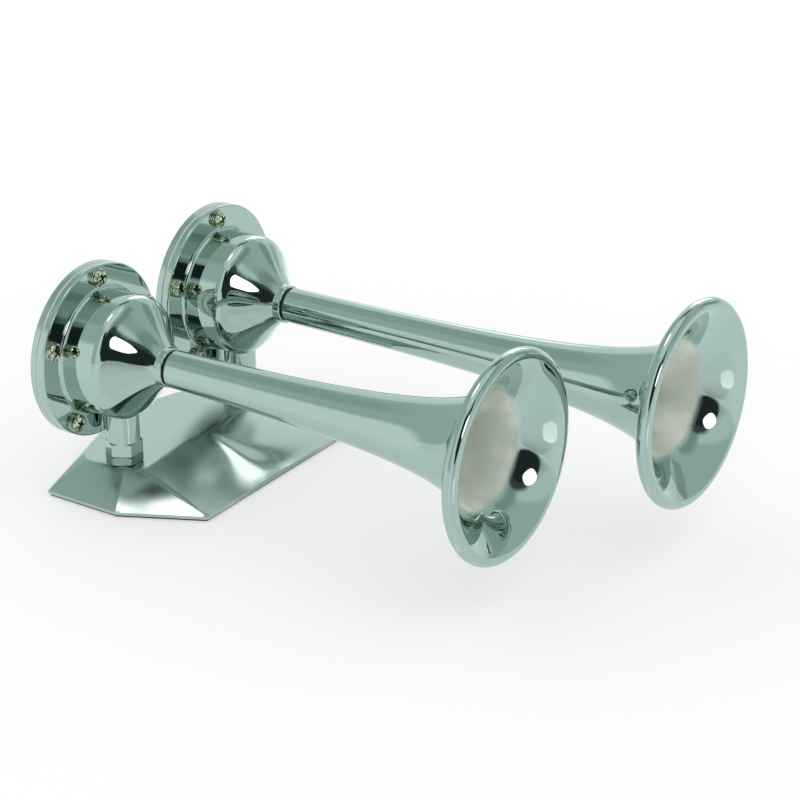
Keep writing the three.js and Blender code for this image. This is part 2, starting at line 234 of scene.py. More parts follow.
def makeTrumpetMaterial():
    # mirror chrome outside and on the flare; deep in the bell the throat turns matte and pale
    material, nodes, links, shader = makeMetal("spunChrome", chromeColour, (0.02, 0.05), 30, 0.00008)
    throat = nodes.new("ShaderNodeAttribute")
    throat.attribute_name = "throat"
    position = positionOf(nodes)
    grain = noiseNode(nodes, links, position, 260, 4, 0.7)
    uneven = noiseNode(nodes, links, position, 45, 2)
    colour = shader.inputs["Base Color"].links[0].from_socket
    cloudy = mapRange(nodes, links, uneven, 0.35, 0.65)
    pale = mixColours(nodes, links, cloudy, (0.55, 0.60, 0.52, 1), (0.86, 0.88, 0.80, 1))
    links.new(mixColours(nodes, links, throat.outputs["Fac"], colour, pale), shader.inputs["Base Color"])
    bare = mathNode(nodes, links, "MULTIPLY", throat.outputs["Fac"], 0.8)
    links.new(mathNode(nodes, links, "SUBTRACT", 1, bare), shader.inputs["Metallic"])
    rough = shader.inputs["Roughness"].links[0].from_socket
    matte = mapRange(nodes, links, grain, 0.3, 0.7, 0.42, 0.55)
    gap = mathNode(nodes, links, "SUBTRACT", matte, rough)
    added = mathNode(nodes, links, "MULTIPLY", gap, throat.outputs["Fac"])
    links.new(mathNode(nodes, links, "ADD", rough, added), shader.inputs["Roughness"])
    return material


def makeScrewMaterial():
    # yellow passivated zinc: cloudy colour, with painted shade darkening the grooves
    material, nodes, links, shader = makeMetal("screwPlating", None, (0.06, 0.12), 500, 0.00006)
    position = positionOf(nodes)
    cloud = mapRange(nodes, links, noiseNode(nodes, links, position, 600, 3), 0.42, 0.58)
    warm = mixColours(nodes, links, cloud, (0.27, 0.31, 0.24, 1), (0.80, 0.79, 0.54, 1))
    groove = nodes.new("ShaderNodeAttribute")
    groove.attribute_name = "groove"
    # painted shade: near black in the gap above the washer and at the bottom of the crossed recess
    grooveShade = placeGroup(nodes, links, "paintedShade", Position=position, Edge=groove.outputs["Fac"], Reach=0.3)["Mask"]
    links.new(mixColours(nodes, links, grooveShade, warm, (0.05, 0.05, 0.03, 1)), shader.inputs["Base Color"])
    return material


def makeRubberMaterial():
    material, nodes, links = newMaterial("gasketRubber")
    shader = nodes["Principled BSDF"]
    position = positionOf(nodes)
    grain = noiseNode(nodes, links, position, 900, 4, 0.7)
    tone = mixColours(nodes, links, noiseNode(nodes, links, position, 60, 2), (0.012, 0.013, 0.013, 1),
                      (0.03, 0.031, 0.03, 1))
    links.new(tone, shader.inputs["Base Color"])
    links.new(mapRange(nodes, links, grain, 0.3, 0.7, 0.55, 0.8), shader.inputs["Roughness"])
    links.new(bumpNode(nodes, links, grain, 0.00004), shader.inputs["Normal"])
    return material


def makeFibreMaterial():
    material, nodes, links = newMaterial("gasketFibre")
    shader = nodes["Principled BSDF"]
    position = positionOf(nodes)
    grain = noiseNode(nodes, links, position, 1200, 4, 0.7)
    links.new(mixColours(nodes, links, grain, (0.50, 0.54, 0.52, 1), (0.66, 0.70, 0.68, 1)),
              shader.inputs["Base Color"])
    links.new(mapRange(nodes, links, grain, 0.3, 0.7, 0.5, 0.7), shader.inputs["Roughness"])
    links.new(bumpNode(nodes, links, grain, 0.00003), shader.inputs["Normal"])
    return material


chromeMaterial = makeMetal("chromePlate", chromeColour, (0.02, 0.05), 35, 0.00012)[0]
# the nuts' chrome is coloured darker than the rest: a painted dark reflection
nutMaterial = makeMetal("nutDarkenedChrome", (0.30, 0.36, 0.34), (0.05, 0.12), 120, 0.00006)[0]
trumpetMaterial = makeTrumpetMaterial()
castMaterial = makeMetal("castChrome", chromeColour, (0.2, 0.26), 28, 0.0003)[0]
screwMaterial = makeScrewMaterial()
brassMaterial = makeMetal("nozzleBrass", (0.62, 0.45, 0.18), (0.18, 0.3), 120, 0.00005)[0]
steelMaterial = makeMetal("springSteel", (0.50, 0.51, 0.50), (0.2, 0.35), 90, 0.00003)[0]
rubberMaterial = makeRubberMaterial()
fibreMaterial = makeFibreMaterial()
print("materials made")


# modelling helpers: shapes are drawn in millimetres about their own axis, then scaled and put in place
weldDistance = 0.001


def arcPoints(centreAlong, centreOut, radius, fromAngle, toAngle, steps):
    # points (along, out) on an arc, angles in degrees from the axis direction outwards
    points = []
    for i in range(steps + 1):
        angle = math.radians(fromAngle + (toAngle - fromAngle) * i / steps)
        points.append((centreAlong + radius * math.cos(angle), centreOut + radius * math.sin(angle)))
    return points


def roundedCorner(before, corner, after, radius, steps=4):
    # an arc that replaces a corner of a profile
    before, corner, after = Vector(before), Vector(corner), Vector(after)
    back = (before - corner).normalized()
    ahead = (after - corner).normalized()
    half = back.angle(ahead) / 2
    reach = min(radius / math.tan(half), (before - corner).length, (after - corner).length)
    radius = reach * math.tan(half)
    centre = corner + (back + ahead).normalized() * radius / math.sin(half)
    start = corner + back * reach - centre
    turn = start.angle_signed(corner + ahead * reach - centre)
    points = []
    for i in range(steps + 1):
        angle = -turn * i / steps
        cos, sin = math.cos(angle), math.sin(angle)
        points.append((centre.x + start.x * cos - start.y * sin, centre.y + start.x * sin + start.y * cos))
    return points


def softProfile(corners):
    # corners are (along, out) or (along, out, radius of the rounded corner)
    points = []
    for i, corner in enumerate(corners):
        radius = corner[2] if len(corner) > 2 else 0
        if radius == 0:
            points.append(corner[:2])
            continue
        before = corners[i - 1][:2]
        after = corners[(i + 1) % len(corners)][:2]
        points += roundedCorner(before, corner[:2], after, radius)
    return points


def smoothThrough(points, steps):
    # a smooth curve through a few points
    padded = [points[0], *points, points[-1]]
    curve = []
    for i in range(len(points) - 1):
        a, b, c, d = (Vector(p) for p in padded[i:i + 4])
        for k in range(steps):
            t = k / steps
            point = 0.5 * (2 * b + (c - a) * t + (2 * a - 5 * b + 4 * c - d) * t**2
                           + (3 * b - a - 3 * c + d) * t**3)
            curve.append(tuple(point))
    curve.append(tuple(points[-1]))
    return curve


def spunShape(profile, steps, closed=True, upright=False):
    bm = bmesh.new()
    verts = [bm.verts.new((0, out, along) if upright else (along, out, 0)) for along, out in profile]
    edges = [bm.edges.new(pair) for pair in zip(verts, verts[1:])]
    if closed:
        edges.append(bm.edges.new((verts[-1], verts[0])))
    axis = (0, 0, 1) if upright else (1, 0, 0)
    bmesh.ops.spin(bm, geom=verts + edges, cent=(0, 0, 0), axis=axis, angle=2 * math.pi,
                   steps=steps, use_merge=True)
    bmesh.ops.remove_doubles(bm, verts=bm.verts, dist=weldDistance)
    bmesh.ops.recalc_face_normals(bm, faces=bm.faces)
    return bm


def rodShape(start, end, radius, steps, upright=True):
    return spunShape([(start, 0), (start, radius), (end, radius), (end, 0)], steps, closed=False, upright=upright)


def boxShape(size):
    bm = bmesh.new()
    bmesh.ops.create_cube(bm, size=1)
    bmesh.ops.scale(bm, vec=size, verts=bm.verts)
    return bm


def turned(bm, degrees):
    # shapes that cut each other are turned a little about their axis, so that none of their edges run together
    bmesh.ops.rotate(bm, verts=bm.verts, matrix=Matrix.Rotation(math.radians(degrees), 3, "Z"))
    return bm


def toObject(bm, name, place=(0, 0, 0)):
    bmesh.ops.scale(bm, vec=(mm, mm, mm), verts=bm.verts)
    bmesh.ops.translate(bm, vec=Vector(place) * mm, verts=bm.verts)
    mesh = bpy.data.meshes.new(name)
    bm.to_mesh(mesh)
    bm.free()
    made = bpy.data.objects.new(name, mesh)
    bpy.context.scene.collection.objects.link(made)
    return made


def keepResult(piece):
    bpy.context.view_layer.update()
    result = bpy.data.meshes.new_from_object(piece.evaluated_get(bpy.context.evaluated_depsgraph_get()))
    piece.modifiers.clear()
    piece.data = result


def carve(piece, cutter, operation="DIFFERENCE"):
    modifier = piece.modifiers.new("carve", "BOOLEAN")
    modifier.object = cutter
    modifier.operation = operation
    modifier.solver = "EXACT"
    keepResult(piece)
    bpy.data.objects.remove(cutter)


def dress(piece, body, material, nodes, sharpAngle=40):
    piece.data.materials.clear()
    piece.data.materials.append(material)
    piece.data.shade_smooth()
    piece.data.set_sharp_from_angle(angle=math.radians(sharpAngle))
    weighted = piece.modifiers.new("flatFaces", "WEIGHTED_NORMAL")
    weighted.keep_sharp = True
    weighted.weight = 100
    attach(piece, body)
    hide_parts(*nodes)


# pieces: sizes in millimetres, on a horn's axis from the front face of its flange, on a stem from the ground
chamber = {
    "flangeRadius": 36.8,
    "flangeThickness": 3,
    "flangeEdge": 0.7,
    "wallRadius": 26.1,
    "wallLength": 15.6,
    "wallFillet": 1.8,
    "filletSteps": 8,
    "domeLength": 18.4,
    "neckRadius": 8.2,
    "neckLength": 3.3,
    "neckEdge": 0.5,
    "spigotRadius": 6,
    "spigotBore": 4.9,
    "spigotLength": 8.5,
    "castThickness": 3.2,
    "domeShares": [(0.083, 0.984), (0.167, 0.931), (0.25, 0.848), (0.333, 0.745), (0.417, 0.636), (0.5, 0.528),
                   (0.583, 0.424), (0.667, 0.325), (0.75, 0.233), (0.833, 0.148), (0.917, 0.07)],
    "domeSteps": 6,
    "spinSteps": 160,
}


def hornPlace(prefix):
    # where a horn's axis passes the front face of its flange, from the frame
    low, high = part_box(f"{prefix}_front_body")
    flangeFront = low.x / mm + chamber["flangeThickness"]
    low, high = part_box(f"{prefix}_trumpet")
    middle = (low + high) / 2 / mm
    return Vector((flangeFront, middle.y, middle.z))


def trumpetReach(prefix):
    low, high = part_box(f"{prefix}_trumpet")
    return high.x / mm - hornPlace(prefix).x


def domeCurve(sizes):
    # domeShares are (share of the dome's length, share of the drop from wall to neck that is left)
    drop = sizes["wallRadius"] - sizes["neckRadius"]
    start = sizes["wallLength"]
    points = [(start, sizes["wallRadius"])]
    for along, left in sizes["domeShares"]:
        points.append((start + along * sizes["domeLength"], sizes["neckRadius"] + left * drop))
    points.append((start + sizes["domeLength"], sizes["neckRadius"]))
    return smoothThrough(points, sizes["domeSteps"])


def makeFrontBody(prefix):
    s = chamber
    fillet = s["wallFillet"]
    neckStart = s["wallLength"] + s["domeLength"]
    neckEnd = neckStart + s["neckLength"]
    wall = s["castThickness"]
    profile = [
        (-s["flangeThickness"], s["flangeRadius"]),
        *roundedCorner((-s["flangeThickness"], s["flangeRadius"]), (0, s["flangeRadius"]),
                       (0, s["wallRadius"]), s["flangeEdge"]),
        *arcPoints(fillet, s["wallRadius"] + fillet, fillet, 180, 270, s["filletSteps"]),
        *domeCurve(s),
        *roundedCorner((neckStart, s["neckRadius"]), (neckEnd, s["neckRadius"]),
                       (neckEnd, s["spigotRadius"]), s["neckEdge"]),
        (neckEnd, s["spigotRadius"]),
        (neckEnd + s["spigotLength"], s["spigotRadius"]),
        (neckEnd + s["spigotLength"], s["spigotBore"]),
        (neckStart - wall, s["spigotBore"]),
        (s["wallLength"] - wall, s["wallRadius"] - wall),
        (-s["flangeThickness"], s["wallRadius"] - wall),
    ]
    piece = toObject(spunShape(profile, s["spinSteps"]), f"{prefix}FrontBody", hornPlace(prefix))
    dress(piece, f"{prefix}_horn", chromeMaterial, [f"{prefix}_front_body"])


cover = {
    "front": -3.8,
    "thickness": 3.4,
    "edge": 0.9,
    "frontEdge": 0.2,
    "recessDepth": 1.4,
    "recessRadius": 25.9,
    "stepRadius": 26.6,
    "stepHeight": 0.8,
    "stepEdge": 0.5,
    "spinSteps": 160,
    "screwHoleRadius": 2.3,
    "screwHoleBehind": 5,
    "screwHoleFront": 1,
    "screwHoleSteps": 24,
}


def makeRearCover(prefix):
    s = cover
    rear = s["front"] - s["thickness"]
    radius = chamber["flangeRadius"]
    profile = softProfile([
        (rear - s["stepHeight"], 0),
        (rear - s["stepHeight"], s["stepRadius"], s["stepEdge"]),
        (rear, s["stepRadius"] + s["stepHeight"], s["stepEdge"]),
        (rear, radius, s["edge"]),
        (s["front"], radius, s["frontEdge"]),
        (s["front"], s["recessRadius"]),
        (s["front"] - s["recessDepth"], s["recessRadius"] - s["recessDepth"]),
        (s["front"] - s["recessDepth"], 0),
    ])
    piece = toObject(spunShape(profile, s["spinSteps"], closed=False), f"{prefix}RearCover", hornPlace(prefix))
    for place in screwPlaces(prefix):
        hole = rodShape(rear - s["screwHoleBehind"], s["screwHoleFront"], s["screwHoleRadius"], s["screwHoleSteps"],
                        upright=False)
        carve(piece, toObject(hole, "screwHole", place))
    dress(piece, f"{prefix}_horn", chromeMaterial, [f"{prefix}_rear_cover"])


screw = {
    "count": 5,
    "circleRadius": 32.1,
    "headRadius": 3.9,
    "headHeight": 3,
    "washerHeight": 0.8,
    "grooveRadius": 3.1,
    "grooveTop": 1.05,
    "crownFoot": 2,
    "crownPoints": 7,
    "edge": 0.15,
    "shankRadius": 2,
    "tip": -6.4,
    "tipEdge": 0.4,
    "recessWidth": 0.9,
    "recessLength": 4.2,
    "recessDepth": 1.5,
    "turnStep": 20,
    "markMargin": 0.1,
    "markDepth": 0.25,
    "spinSteps": 48,
}


def screwPlaces(prefix):
    places = []
    for i in range(screw["count"]):
        angle = math.pi / 2 + i * 2 * math.pi / screw["count"]
        out = Vector((0, math.cos(angle), math.sin(angle))) * screw["circleRadius"]
        places.append(hornPlace(prefix) + out)
    return places


def crownHeightAt(out):
    s = screw
    share = math.sqrt(max(0, 1 - (out / (s["headRadius"] - s["edge"])) ** 2))
    return s["crownFoot"] + (s["headHeight"] - s["crownFoot"]) * share


def makeScrew(prefix, number, place):
    s = screw
    radius, edge = s["headRadius"], s["edge"]
    crownTurn = 90 / (s["crownPoints"] - 1)
    crown = [(radius - edge) * math.cos(math.radians(crownTurn * i)) for i in range(s["crownPoints"])]
    profile = softProfile([
        (s["tip"], 0),
        (s["tip"], s["shankRadius"], s["tipEdge"]),
        (0, s["shankRadius"]),
        (0, radius, edge),
        (s["washerHeight"], radius, edge),
        (s["washerHeight"], s["grooveRadius"]),
        (s["grooveTop"], s["grooveRadius"]),
        (s["grooveTop"], radius - edge, edge),
        *[(crownHeightAt(out), out) for out in crown],
    ])
    piece = toObject(spunShape(profile, s["spinSteps"], closed=False), f"{prefix}CoverScrew{number}", place)
    for turn in (0, 90):
        bm = boxShape((s["recessDepth"] * 2, s["recessWidth"], s["recessLength"]))
        spin = Matrix.Rotation(math.radians(turn + s["turnStep"] * number), 3, "X")
        bmesh.ops.rotate(bm, matrix=spin, verts=bm.verts)
        carve(piece, toObject(bm, "recess", place + Vector((s["headHeight"], 0, 0))))
    markGroove(piece, place)
    dress(piece, f"{prefix}_horn", screwMaterial, [f"{prefix}_cover_screw_{number}"])


def markGroove(piece, place):
    # 1 where shade is painted: in the gap above the washer and at the bottom of the crossed recess
    s = screw
    margin = s["markMargin"]
    values = []
    for vertex in piece.data.vertices:
        local = vertex.co / mm - place
        out = math.hypot(local.y, local.z)
        inGap = out < s["grooveRadius"] + margin and s["washerHeight"] - margin < local.x < s["grooveTop"] + margin
        sunk = (s["grooveTop"] < local.x < crownHeightAt(out) - s["markDepth"]
                and out < s["recessLength"] / 2 + margin)
        values.append(1.0 if inGap or sunk else 0.0)
    piece.data.attributes.new("groove", "FLOAT", "POINT").data.foreach_set("value", values)


trumpetSizes = {
    "start": 38.5,
    "tubeRadius": 7.2,
    "longHeight": 17,
    "longLength": 50,
    "mouthHeight": 15.3,
    "mouthLength": 9.6,
    "bellRadius": 43,
    "lipRadius": 3.1,
    "lipJoin": 0.25,
    "lipEnd": 250,
    "lipSteps": 30,
    "hollowSteps": 20,
    "wall": 1.1,
    "socketRadius": 6.3,
    "socketLength": 8.5,
    "startEdge": 0.5,
    "throatFrom": 11.5,
    "throatFull": 13.5,
    "throatWallShare": 0.6,
    "curveSteps": 70,
    "spinSteps": 200,
}


def flareRadius(distance):
    # the horn's outer radius at a distance behind the mouth: a tube and two curves that die away
    s = trumpetSizes
    return (s["tubeRadius"] + s["longHeight"] * math.exp(-distance / s["longLength"])
            + s["mouthHeight"] * math.exp(-distance / s["mouthLength"]))


def flareSlope(distance):
    s = trumpetSizes
    return (s["longHeight"] / s["longLength"] * math.exp(-distance / s["longLength"])
            + s["mouthHeight"] / s["mouthLength"] * math.exp(-distance / s["mouthLength"]))


def makeTrumpet(prefix):
    s = trumpetSizes
    reach = trumpetReach(prefix)
    curveFront = reach - s["wall"] - s["lipJoin"]
    length = curveFront - s["start"]
    outside, inside = [], []
    for i in range(s["curveSteps"] + 1):
        distance = length * (1 - i / s["curveSteps"]) ** 2
        along, out = curveFront - distance, flareRadius(distance + s["lipJoin"])
        slope = flareSlope(distance + s["lipJoin"])
        across = s["wall"] / math.hypot(slope, 1)
        outside.append((along, out))
        inside.append((along + slope * across, out - across))
    socketEnd = s["start"] + s["socketLength"]
    bore = [p for p in inside if p[0] > socketEnd + s["wall"]]
    lipStart = -math.degrees(math.atan(1 / flareSlope(s["lipJoin"])))
    middle = (reach - s["lipRadius"], s["bellRadius"] - s["lipRadius"])
    hollow = arcPoints(*middle, s["lipRadius"] - s["wall"], lipStart, s["lipEnd"], s["hollowSteps"])
    lip = arcPoints(*middle, s["lipRadius"], s["lipEnd"], lipStart, s["lipSteps"])
    start = roundedCorner((s["start"], s["socketRadius"]), outside[0], outside[1], s["startEdge"])
    profile = [*start, *outside[1:], *hollow[1:], *lip[:-1], *reversed(bore), (socketEnd, s["socketRadius"]),
               (s["start"], s["socketRadius"])]
    piece = toObject(spunShape(profile, s["spinSteps"]), f"{prefix}Trumpet", hornPlace(prefix))
    markThroat(piece, prefix, reach)
    dress(piece, f"{prefix}_horn", trumpetMaterial, [f"{prefix}_trumpet"])


def markThroat(piece, prefix, reach):
    # 0 on the flare and outside, rising to 1 on the inner wall deep in the bell
    s = trumpetSizes
    place = hornPlace(prefix)
    values = []
    for vertex in piece.data.vertices:
        local = vertex.co / mm - place
        distance = reach - local.x
        out = math.hypot(local.y, local.z)
        inner = out < flareRadius(max(distance - s["wall"], 0)) - s["wall"] * s["throatWallShare"]
        depth = (distance - s["throatFrom"]) / (s["throatFull"] - s["throatFrom"])
        values.append(max(0.0, min(1.0, depth)) if inner else 0.0)
    piece.data.attributes.new("throat", "FLOAT", "POINT").data.foreach_set("value", values)


neckSeal = {
    "outer": 7.1,
    "inner": 6.1,
    "from": 37.3,
    "to": 38.5,
    "edge": 0.2,
    "spinSteps": 96,
}
coverGasket = {
    "outer": 36.7,
    "inner": 26.5,
    "from": -3.8,
    "to": -3,
    "edge": 0.2,
    "spinSteps": 96,
}


def makeRing(prefix, name, sizes, node, material):
    start, end, outer, inner, edge = (sizes[label] for label in ("from", "to", "outer", "inner", "edge"))
    profile = softProfile([(start, inner), (start, outer, edge), (end, outer, edge), (end, inner)])
    piece = toObject(spunShape(profile, sizes["spinSteps"]), f"{prefix}{name}", hornPlace(prefix))
    dress(piece, f"{prefix}_horn", material, [f"{prefix}_{node}"])


stemSizes = {
    "radius": 7,
    "shankRadius": 5,
    "boreRadius": 2.4,
    "tipRadius": 4,
    "tipTop": 41.5,
    "hexFlats": 14,
    "hexEdge": 0.35,
    "chamferInset": 0.2,
    "chamferSlope": 0.55,
    "barrelMargin": 0.1,
    "barrelPast": 0.5,
    "nutHeight": 4.2,
    "hexHeight": 5.8,
    "plateTop": 13,
    "shankEnd": 1.6,
    "underNutHeight": 4.5,
    "underNutFoot": 2.5,
    "shankEdge": 0.5,
    "overlap": 1,
    "bore": (-5, 60),
    "spinSteps": 96,
    "holeSteps": 48,
    "postTurn": 1.875,
    "tipTurn": 2.9,
    "boreTurn": 1,
    "clearance": 0.05,
    "nutClearance": 0.1,
    "nutGap": 0.03,
    "flangeRelief": 0.6,
    "chamberReach": (-10, 60),
    "chamberSteps": 192,
}


def makeHexagon(foot, height, footChamfer, name, place):
    # hexagon prism with its corners turned off at the top, and at the foot where that is asked for
    s = stemSizes
    corner = s["hexFlats"] / 2 / math.cos(math.pi / 6)
    bm = bmesh.new()
    bmesh.ops.create_circle(bm, cap_ends=True, radius=corner, segments=6)
    bmesh.ops.translate(bm, vec=(0, 0, foot), verts=bm.verts)
    raised = bmesh.ops.extrude_face_region(bm, geom=list(bm.faces))
    verts = [v for v in raised["geom"] if isinstance(v, bmesh.types.BMVert)]
    bmesh.ops.translate(bm, vec=(0, 0, height), verts=verts)
    bmesh.ops.recalc_face_normals(bm, faces=bm.faces)
    upright = [e for e in bm.edges if abs(e.verts[0].co.z - e.verts[1].co.z) > height / 2]
    bmesh.ops.bevel(bm, geom=upright, offset=s["hexEdge"], segments=3, profile=0.5, affect="EDGES", material=-1)
    piece = toObject(bm, name, place)
    inner = s["hexFlats"] / 2 - s["chamferInset"]
    outer = corner + s["barrelMargin"]
    rise = (corner - inner) * s["chamferSlope"]
    # the barrel's cones run on past both ends, so that no two faces lie in one plane
    past = s["barrelPast"]
    low, high = foot - past, foot + height + past
    end = inner - (outer - inner) * past / rise
    lower = [(low, end), (foot + rise, outer)] if footChamfer else [(low, outer)]
    barrel = [(low, 0), *lower, (foot + height - rise, outer), (high, end), (high, 0)]
    barrel = spunShape(barrel, s["spinSteps"], closed=False, upright=True)
    carve(piece, toObject(barrel, "barrel", place), "INTERSECT")
    return piece


def stemPlace(prefix):
    low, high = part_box(f"{prefix}_stem")
    middle = (low + high) / 2 / mm
    return Vector((0, middle.y, 0))


def makeStem(prefix):
    s = stemSizes
    place = stemPlace(prefix)
    hexFoot = s["plateTop"] + s["nutHeight"] + s["nutGap"]
    hexTop = s["plateTop"] + s["nutHeight"] + s["hexHeight"]
    axisHeight = hornPlace(prefix).z
    foot, shankTop, radius, edge = s["shankEnd"], hexTop - s["overlap"], s["shankRadius"], s["shankEdge"]
    post = [(foot, 0), (foot, radius - edge), (foot + edge, radius), (shankTop, radius), (shankTop, s["radius"]),
            (axisHeight, s["radius"]), (axisHeight, 0)]
    post = turned(spunShape(post, s["spinSteps"], closed=False, upright=True), s["postTurn"])
    piece = toObject(post, f"{prefix}Stem", place)
    # the post ends where it meets the front body
    gap, relief = s["clearance"], s["flangeRelief"]
    rear, front = s["chamberReach"]
    c = chamber
    body = [(rear, 0), (rear, c["flangeRadius"]), (-gap, c["flangeRadius"]), (gap, c["wallRadius"] + relief + gap),
            (relief, c["wallRadius"] + gap), *[(along, out + gap) for along, out in domeCurve(c)],
            (front, c["neckRadius"]), (front, 0)]
    carve(piece, toObject(spunShape(body, s["chamberSteps"], closed=False), "chamberShape", hornPlace(prefix)))
    carve(piece, makeHexagon(hexFoot, hexTop - hexFoot, False, "hexagon", place), "UNION")
    tip = turned(rodShape(hexTop, s["tipTop"], s["tipRadius"], s["holeSteps"]), s["tipTurn"])
    carve(piece, toObject(tip, "tip", place), "UNION")
    bore = turned(rodShape(*s["bore"], s["boreRadius"], s["holeSteps"]), s["boreTurn"])
    carve(piece, toObject(bore, "bore", place))
    dress(piece, f"{prefix}_horn", chromeMaterial, [f"{prefix}_stem"])


def makeNut(prefix, name, foot, height, node):
    s = stemSizes
    place = stemPlace(prefix)
    piece = makeHexagon(foot, height, True, f"{prefix}{name}", place)
    hole = rodShape(*s["bore"], s["shankRadius"] + s["nutClearance"], s["holeSteps"])
    carve(piece, toObject(hole, "nutHole", place))
    dress(piece, "base", nutMaterial, [f"{prefix}_{node}"])


base = {
    "gasketThickness": 1,
    "rimHeight": 1.3,
    "height": 12,
    "sideFromStem": 40.925,
    "topFrontX": 11.5,
    "topFrontMargin": 7,
    "topRearX": -17.3,
    "topRearMargin": 8.9,
    "topMiddleX": -33.9,
    "footFrontX": 49,
    "footFrontMargin": 7.8,
    "footSideX": 14,
    "footSideMargin": 24.7,
    "footRearX": -22.7,
    "footRearMargin": 23.7,
    "footMiddleX": -44.2,
    "valleyInset": 1.2,
    "cornerRadius": 8,
    "cornerSteps": 16,
    "sideSteps": 10,
    "frontShare": 0.75,
    "ridgeReach": 1.8,
    "ridgeSteps": 5,
    "slopeSteps": 14,
    "crown": 0.5,
    "frontSteps": 40,
    "valleyDepth": 2.4,
    "valleyWidth": 18,
    "valleyTaper": 2.5,
    "seatRadius": 11,
    "seatTop": 8,
    "seatTurn": 2,
    "stemHoleRadius": 5.3,
    "stemHoleTop": 20,
    "holeBelow": 2,
    "holeSteps": 48,
    "pocketDepth": 8.2,
    "pocketSize": 17,
    "pocketPitch": 21,
    "pocketX": -14,
    "mountHoleRadius": 2.6,
    "mountHoleDepth": 8,
    "mountHoleX": 3,
    "mountHoleY": 19,
}


def between(first, second, share):
    return Vector(first).lerp(Vector(second), share)


def plateColumns(foot, top, sizes):
    # pairs of a point on the foot outline and one on the top outline, from the front middle to the rear middle
    front = roundedCorner(top[0], top[1], top[2], sizes["cornerRadius"], sizes["cornerSteps"])
    rear = roundedCorner(top[1], top[2], top[3], sizes["cornerRadius"], sizes["cornerSteps"])
    turn = round(len(front) * sizes["frontShare"])
    apex = front[turn]
    sides = [i / sizes["sideSteps"] for i in range(1, sizes["sideSteps"] + 1)]
    fronts = [i / sizes["frontSteps"] for i in range(sizes["frontSteps"] + 1)]
    columns = [(between(foot[0], foot[1], share), between(top[0], front[0], share)) for share in fronts]
    columns += [(Vector(foot[1]), Vector(p)) for p in front[1:turn + 1]]
    columns += [(between(foot[1], foot[2], share), Vector(apex)) for share in sides]
    columns += [(Vector(foot[2]), Vector(p)) for p in front[turn + 1:]]
    columns += [(between(foot[2], foot[3], share), between(front[-1], rear[0], share)) for share in sides]
    columns += [(Vector(foot[3]), Vector(p)) for p in rear[1:]]
    columns += [(between(foot[3], foot[4], share), between(rear[-1], top[3], share)) for share in sides]
    return columns


def columnPoints(foot, rim, top, inwards, sizes):
    # one line up the plate: the low rim, the slightly crowned slope and the rounded edge of the flat top
    low = sizes["gasketThickness"]
    height = low + sizes["height"]
    start, corner = rim.to_3d(), top.to_3d()
    start.z, corner.z = low + sizes["rimHeight"], height
    points = [(foot.x, foot.y, low), tuple(start)]
    last = 1 - sizes["ridgeReach"] / (corner - start).length
    # factors that bring the highest values of t (1 - t) and t (1 - t)^2 to 1
    crownScale, valleyScale = 4, 6.75
    for i in range(1, sizes["slopeSteps"] + 1):
        t = last * i / sizes["slopeSteps"]
        point = start.lerp(corner, t)
        point.z += sizes["crown"] * crownScale * t * (1 - t)
        if point.x > 0:  # the valley in the front slope is widest at the foot
            width = sizes["valleyWidth"] * math.exp(-sizes["valleyTaper"] * t)
            point.z -= sizes["valleyDepth"] * valleyScale * t * (1 - t) ** 2 * math.exp(-(point.y / width) ** 2)
        points.append(tuple(point))
    inner = corner + inwards.to_3d() * sizes["ridgeReach"]
    for i in range(1, sizes["ridgeSteps"] + 1):
        u = i / sizes["ridgeSteps"]
        points.append(tuple(point * (1 - u) ** 2 + corner * 2 * u * (1 - u) + inner * u * u))
    return points


def inwardsAt(tops, ridge):
    # the direction from a point of the plate's top outline towards the middle of the top
    apart = 0.01
    here = tops.index(ridge)
    before = [p for p in tops[:here] if (p - ridge).length > apart]
    after = [p for p in tops[here:] if (p - ridge).length > apart]
    if not before or not after:
        return Vector((1 if before else -1, 0))
    along = (after[0] - before[-1]).normalized()
    return Vector((-along.y, along.x))


